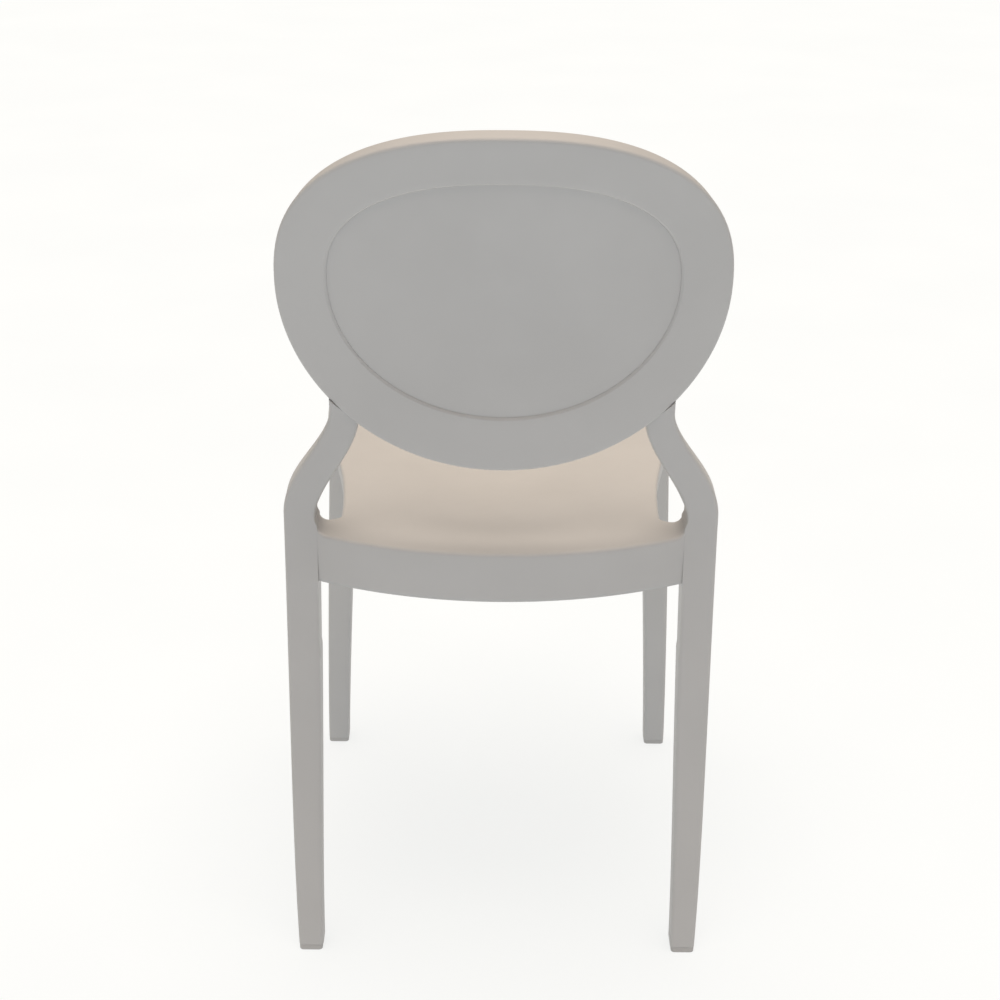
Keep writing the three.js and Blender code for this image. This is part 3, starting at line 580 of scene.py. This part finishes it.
def seat_skin():
    """The seat's outer skin: the dished top, its rounded edge and the skirt, open below."""
    rows = seat_plan_rows()
    width = len(rows[0])
    depth = len(rows)
    plan = np.array([p for row in rows for p in row])
    grid = np.arange(len(plan)).reshape(depth, width)
    face_rows = len(BLOCK_DISTANCES)
    rear = plan[grid[0]]
    sides = [plan[grid[face_rows:, 0]], plan[grid[face_rows:, -1]]]
    front = plan[grid[-1]]
    free = np.min([distance_to(plan, path) for path in (rear, *sides, front)], axis=0)
    inward = np.clip(1 - free / SEAT_EDGE_RADIUS, 0, 1)
    roll = SEAT_EDGE_RADIUS * (1 - np.sqrt(1 - inward**2))
    x, y = plan.T
    z = seat_height_at(x, y) + corner_rise(x, y) - roll
    points = [tuple(p) for p in np.column_stack((x, y, z))]
    faces = [
        (grid[r, c], grid[r + 1, c], grid[r + 1, c + 1], grid[r, c + 1])
        for r in range(depth - 1)
        for c in range(width - 1)
    ]
    rim = [*grid[0, :-1], *grid[:-1, -1], *grid[-1, :0:-1], *grid[:0:-1, 0]]
    previous = rim
    for share in np.linspace(0, 1, SKIRT_LEVELS)[1:]:
        level = []
        for start in rim:
            px, py, pz = points[start]
            z = lerp(pz, float(rim_height(py)) - apron_at(py), share)
            level.append(len(points))
            points.append((px, py, z))
        for i in range(len(rim)):
            j = (i + 1) % len(rim)
            faces.append((previous[i], previous[j], level[j], level[i]))
        previous = level
    return points, [tuple(int(i) for i in face) for face in faces]


def apply_modifiers(piece):
    bpy.context.view_layer.update()
    evaluated = piece.evaluated_get(bpy.context.evaluated_depsgraph_get())
    mesh = bpy.data.meshes.new_from_object(evaluated)
    piece.modifiers.clear()
    piece.data = mesh


# Heights above the block's lower edge, with how far its outline is drawn in there.
BLOCK_LOWER_EDGE = [(2 * MM, 0.96), (2.6 * MM, 0.99), (3.4 * MM, 1)]


def corner_block():
    """The block inside the skirt that meets a rear leg, laid a little inside the skin."""
    inside = SEAT_WALL / 2
    face = REAR_INNER_FACE - CREASE_RADIUS
    across = np.linspace(BLOCK_INNER, face, 8)
    outline = [(x, float(rear_edge_y(x)) - inside) for x in across][::-1]
    front = BLOCK_FRONT_Y + inside
    waist = SEAT_WAIST - inside
    outline.append((BLOCK_INNER, front - BLOCK_FILLET))
    bend = ((waist, front - BLOCK_FILLET), (waist, front), (face, front))
    outline += [quadratic(*bend, t) for t in np.linspace(0, 1, 10)]
    bottom = SEAT_RIM - APRON_REAR
    top = SEAT_RIM - SEAT_WALL / 2
    middle = np.mean(outline, axis=0)
    levels = [(bottom + rise, draw) for rise, draw in BLOCK_LOWER_EDGE] + [(top, 1)]
    rings = []
    for z, draw in levels:
        rings.append([(*(middle + (np.array(p) - middle) * draw), z) for p in outline])
    return loft(rings)


def corner_socket():
    """The socket in the seat's front corner that takes a front leg's plug."""
    section = front_leg_section(FRONT_SHOULDER)
    heights = (FRONT_SHOULDER + GAP, float(rim_height(SEAT_FRONT_Y)) - SEAT_WALL / 2)
    return loft([leg_ring(section, z, GAP) for z in heights])


THIN_WALL = 0.08  # share of the wall that stays where the seat's skin folds against a rear leg


def thin_at_legs(piece):
    """Marks the seat's skin with how thick its wall is: thin beside the rear legs."""
    group = piece.vertex_groups.new(name="wall")
    for vertex in piece.data.vertices:
        x, y = abs(vertex.co.x), vertex.co.y - REAR_FACE_Y
        from_leg = max(REAR_INNER_FACE - x, BLOCK_FRONT_Y - y, 0)
        group.add([vertex.index], min(from_leg / CORNER_FILLET, 1) ** 2, "REPLACE")
    return group


def seat():
    piece = make_object("seat_moulding", *seat_skin())
    shell = piece.modifiers.new("wall", "SOLIDIFY")
    shell.vertex_group = thin_at_legs(piece).name
    shell.thickness_vertex_group = THIN_WALL
    shell.thickness = SEAT_WALL
    shell.offset = -1
    shell.use_even_offset = False
    apply_modifiers(piece)
    inner = [
        make_object("seat_inner", *mirror(*part, side))
        for part in (corner_block(), corner_socket())
        for side in SIDES.values()
    ]
    with bpy.context.temp_override(active_object=piece, selected_editable_objects=[piece, *inner]):
        bpy.ops.object.join()
    return piece


# ---- Screws ----

SCREW_SIDES = 48
SCREW_RADIUS = 2.4 * MM
PAN_HEAD = {"radius": 5 * MM, "height": 3 * MM, "recess": 2.1 * MM, "recess_depth": 1.4 * MM}
PAN_CROWN = 0.62  # share of the head's radius that is flat on top
PAN_ROUND = 0.75  # share of the head's height that its round edge takes
RECESS_LIP = 0.1 * MM
LOBES = 6
LOBE_SHARE = 0.14  # how far the lobes reach, as a share of the recess
DOME_STEPS = 8


def screw_profile(length):
    """Rings of a pan-head screw as (radius, place along it, lobes) from its recess to its tip."""
    radius, height = PAN_HEAD["radius"], PAN_HEAD["height"]
    recess, floor = PAN_HEAD["recess"], PAN_HEAD["recess_depth"]
    rings = [(recess * share, floor, LOBE_SHARE) for share in (0.4, 0.96, 1)]
    rings += [(recess, RECESS_LIP, LOBE_SHARE), (recess * 1.06, 0, LOBE_SHARE)]
    rings.append((radius * PAN_CROWN, 0, 0))
    for step in range(1, DOME_STEPS + 1):
        angle = math.pi / 2 * step / DOME_STEPS
        out = radius * (PAN_CROWN + (1 - PAN_CROWN) * math.sin(angle))
        rings.append((out, height * PAN_ROUND * (1 - math.cos(angle)), 0))
    rings += [(radius, height - GAP, 0), (SCREW_RADIUS, height - GAP, 0)]
    rings += [(SCREW_RADIUS, length - SCREW_RADIUS, 0), (SCREW_RADIUS * 0.1, length, 0)]
    return rings


def pan_head_screw(name, side, forward):
    """A screw with a six-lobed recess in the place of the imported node's plain one."""
    low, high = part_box(name)
    middle = (low + high) / 2
    axis = Vector((0, -1, 0)) if forward else Vector((side, 0, 0))
    length = abs((high - low).dot(axis))
    across = Vector((0, 0, 1))
    third = axis.cross(across)
    head = middle - axis * length / 2 - Vector((0, REAR_FACE_Y, 0))
    rings = []
    for radius, along, lobes in screw_profile(length):
        ring = []
        for i in range(SCREW_SIDES):
            angle = 2 * math.pi * i / SCREW_SIDES
            reach = radius * (1 + lobes * math.cos(LOBES * angle))
            outward = across * math.cos(angle) + third * math.sin(angle)
            ring.append(tuple(head + axis * along + outward * reach))
        rings.append(ring)
    return make_object(f"{name}_pan_head", *loft(rings, flip=True))


# ---- Materials ----


def new_material(name):
    material = bpy.data.materials.new(name)
    material.use_nodes = True
    nodes = material.node_tree.nodes
    return material, nodes, material.node_tree.links, nodes["Principled BSDF"]


def noise(nodes, links, where, scale, detail, roughness=0.5):
    node = nodes.new("ShaderNodeTexNoise")
    node.inputs["Scale"].default_value = scale
    node.inputs["Detail"].default_value = detail
    node.inputs["Roughness"].default_value = roughness
    links.new(where, node.inputs["Vector"])
    return node.outputs["Fac"]


def ramp(nodes, links, factor, low, high, start=0.35, end=0.65):
    node = nodes.new("ShaderNodeValToRGB")
    node.color_ramp.elements[0].position = start
    node.color_ramp.elements[1].position = end
    node.color_ramp.elements[0].color = low
    node.color_ramp.elements[1].color = high
    links.new(factor, node.inputs["Fac"])
    return node.outputs["Color"]


def grey(value):
    return (value, value, value, 1)


def moulded_plastic(name, light, dark, rough):
    """Matte polypropylene: fine spark-eroded grain, faint flow mottling and slight sink."""
    material, nodes, links, surface = new_material(name)
    where = nodes.new("ShaderNodeTexCoord").outputs["Object"]
    mottle = noise(nodes, links, where, 9, 4)
    links.new(ramp(nodes, links, mottle, dark, light), surface.inputs["Base Color"])
    cloud = noise(nodes, links, where, 60, 3)
    shine = ramp(nodes, links, cloud, grey(rough - 0.04), grey(rough + 0.04))
    links.new(shine, surface.inputs["Roughness"])
    surface.inputs["Specular IOR Level"].default_value = 0.42
    surface.inputs["IOR"].default_value = 1.49
    sink = nodes.new("ShaderNodeBump")
    sink.inputs["Strength"].default_value = 0.25
    sink.inputs["Distance"].default_value = 0.0006
    links.new(noise(nodes, links, where, 14, 2), sink.inputs["Height"])
    grain = nodes.new("ShaderNodeBump")
    grain.inputs["Strength"].default_value = 0.2
    grain.inputs["Distance"].default_value = 0.00012
    links.new(noise(nodes, links, where, 1400, 3, 0.6), grain.inputs["Height"])
    links.new(sink.outputs["Normal"], grain.inputs["Normal"])
    links.new(grain.outputs["Normal"], surface.inputs["Normal"])
    return material


def zinc_steel():
    material, nodes, links, surface = new_material("zinc_steel")
    where = nodes.new("ShaderNodeTexCoord").outputs["Object"]
    patch = noise(nodes, links, where, 500, 4)
    links.new(
        ramp(nodes, links, patch, (0.42, 0.43, 0.44, 1), (0.6, 0.61, 0.62, 1)),
        surface.inputs["Base Color"],
    )
    links.new(ramp(nodes, links, patch, grey(0.25), grey(0.42)), surface.inputs["Roughness"])
    surface.inputs["Metallic"].default_value = 1.0
    return material


FLOOR_DARK = (0.2, 0.22, 0.24, 1)
FLOOR_LIGHT = (0.21, 0.23, 0.25, 1)
FLOOR_GLOW = (1, 1, 0.98, 1)
FLOOR_GLOW_STRENGTH = 0.76


def studio_floor():
    material, nodes, links, surface = new_material("pale_floor")
    where = nodes.new("ShaderNodeTexCoord").outputs["Object"]
    patches = noise(nodes, links, where, 3, 2)
    tone = ramp(nodes, links, patches, FLOOR_DARK, FLOOR_LIGHT)
    links.new(tone, surface.inputs["Base Color"])
    surface.inputs["Roughness"].default_value = 0.9
    surface.inputs["Specular IOR Level"].default_value = 0.1
    surface.inputs["Emission Color"].default_value = FLOOR_GLOW
    surface.inputs["Emission Strength"].default_value = FLOOR_GLOW_STRENGTH
    return material


# ---- Assembly ----


def dress(piece, material, slot, *replaced):
    piece.data.materials.clear()
    piece.data.materials.append(material)
    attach(piece, "root")
    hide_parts(*replaced)


SHELL_PLASTIC = {"light": (0.57, 0.56, 0.545, 1), "dark": (0.55, 0.54, 0.525, 1), "rough": 0.55}
GLIDE_PLASTIC = {"light": (0.52, 0.505, 0.485, 1), "dark": (0.5, 0.485, 0.465, 1), "rough": 0.58}


def build_chair():
    shell = moulded_plastic("shell_plastic_matte", **SHELL_PLASTIC)
    pad = moulded_plastic("glide_plastic_matte", **GLIDE_PLASTIC)
    steel = zinc_steel()
    dress(seat(), shell, "shell_plastic", "seat")
    dress(back_shell(), shell, "shell_plastic", "back_shell")
    dress(back_panel(), shell, "shell_plastic", "back_panel")
    for side in SIDES:
        dress(rear_leg(side), shell, "shell_plastic", f"rear_leg_{side}")
        dress(front_leg(side), shell, "shell_plastic", f"front_leg_{side}")
        dress(glide("rear", side, rear_leg_section), pad, "glide_plastic", f"rear_foot_{side}")
        dress(glide("front", side, front_leg_section), pad, "glide_plastic", f"front_foot_{side}")
    for name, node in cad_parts.items():
        if name.startswith("back_screw"):
            node.data.materials.clear()
            node.data.materials.append(steel)
        elif "screw" in name:
            side = SIDES["left" if "_left" in name else "right"]
            dress(pan_head_screw(name, side, name.endswith("_front")), steel, "screw_steel", name)


# ---- Studio ----

CAMERA_HEIGHT = 1.288
CAMERA_BEHIND = 1.753  # from the rear feet's rear face
CAMERA_ASIDE = 0.0135
CAMERA_PITCH = math.radians(23.4)
CAMERA_ROLL = 0.0078
CAMERA_LENS = 70.92
CAMERA_SHIFT = 0.0123


FLOOR_HALF = 15
KEY_TOWARDS = (0, 0.01, -1)
KEY_STRENGTH = 3.2
KEY_SPREAD = math.radians(73)
KEY_COLOUR = (1.0, 0.87, 0.74)
FILL_PLACE = (0, 4.2, 2.2)
FILL_TARGET = (0, 0, 0.7)
FILL_SIZE = (3.0, 2.4)
FILL_POWER = 9
FILL_COLOUR = (0.25, 0.5, 1.0)
WORLD_COLOUR = (0.85, 0.92, 1.0, 1)
WORLD_STRENGTH = 0.13


def floor():
    half = FLOOR_HALF
    mesh = bpy.data.meshes.new("studio_floor")
    corners = [(-half, -half, 0), (half, -half, 0), (half, half, 0), (-half, half, 0)]
    mesh.from_pydata(corners, [], [(0, 1, 2, 3)])
    mesh.materials.append(studio_floor())
    piece = bpy.data.objects.new("studio_floor", mesh)
    bpy.context.scene.collection.objects.link(piece)


def area_light(name, place, target, size, power, colour):
    light = bpy.data.lights.new(name, "AREA")
    light.shape = "RECTANGLE"
    light.size, light.size_y = size
    light.energy = power
    light.color = colour
    lamp = bpy.data.objects.new(name, light)
    lamp.location = place
    lamp.rotation_euler = (Vector(target) - Vector(place)).to_track_quat("-Z", "Y").to_euler()
    lamp.visible_camera = False
    bpy.context.scene.collection.objects.link(lamp)


def sun(name, towards, power, spread, colour):
    light = bpy.data.lights.new(name, "SUN")
    light.energy = power
    light.angle = spread
    light.color = colour
    lamp = bpy.data.objects.new(name, light)
    lamp.rotation_euler = Vector(towards).to_track_quat("-Z", "Y").to_euler()
    bpy.context.scene.collection.objects.link(lamp)


def studio():
    floor()
    sun("key_above", KEY_TOWARDS, KEY_STRENGTH, KEY_SPREAD, KEY_COLOUR)
    area_light("fill_behind", FILL_PLACE, FILL_TARGET, FILL_SIZE, FILL_POWER, FILL_COLOUR)
    world = bpy.data.worlds.new("studio_world")
    world.use_nodes = True
    background = world.node_tree.nodes["Background"]
    background.inputs["Color"].default_value = WORLD_COLOUR
    background.inputs["Strength"].default_value = WORLD_STRENGTH
    bpy.context.scene.world = world
    bpy.context.scene.view_settings.view_transform = "Standard"


def camera():
    data = bpy.data.cameras.new("camera")
    data.lens = CAMERA_LENS
    data.sensor_width = 36
    data.shift_x = CAMERA_SHIFT
    data.dof.use_dof = False
    eye = bpy.data.objects.new("camera", data)
    eye.location = (CAMERA_ASIDE, REAR_FACE_Y + CAMERA_BEHIND, CAMERA_HEIGHT)
    turn = Euler((math.pi / 2 - CAMERA_PITCH, 0, math.pi), "XYZ").to_matrix()
    roll = Euler((0, 0, CAMERA_ROLL), "XYZ").to_matrix()
    eye.rotation_euler = (turn @ roll).to_euler()
    bpy.context.scene.collection.objects.link(eye)
    bpy.context.scene.camera = eye


build_chair()
studio()
camera()

bpy.context.view_layer.update()
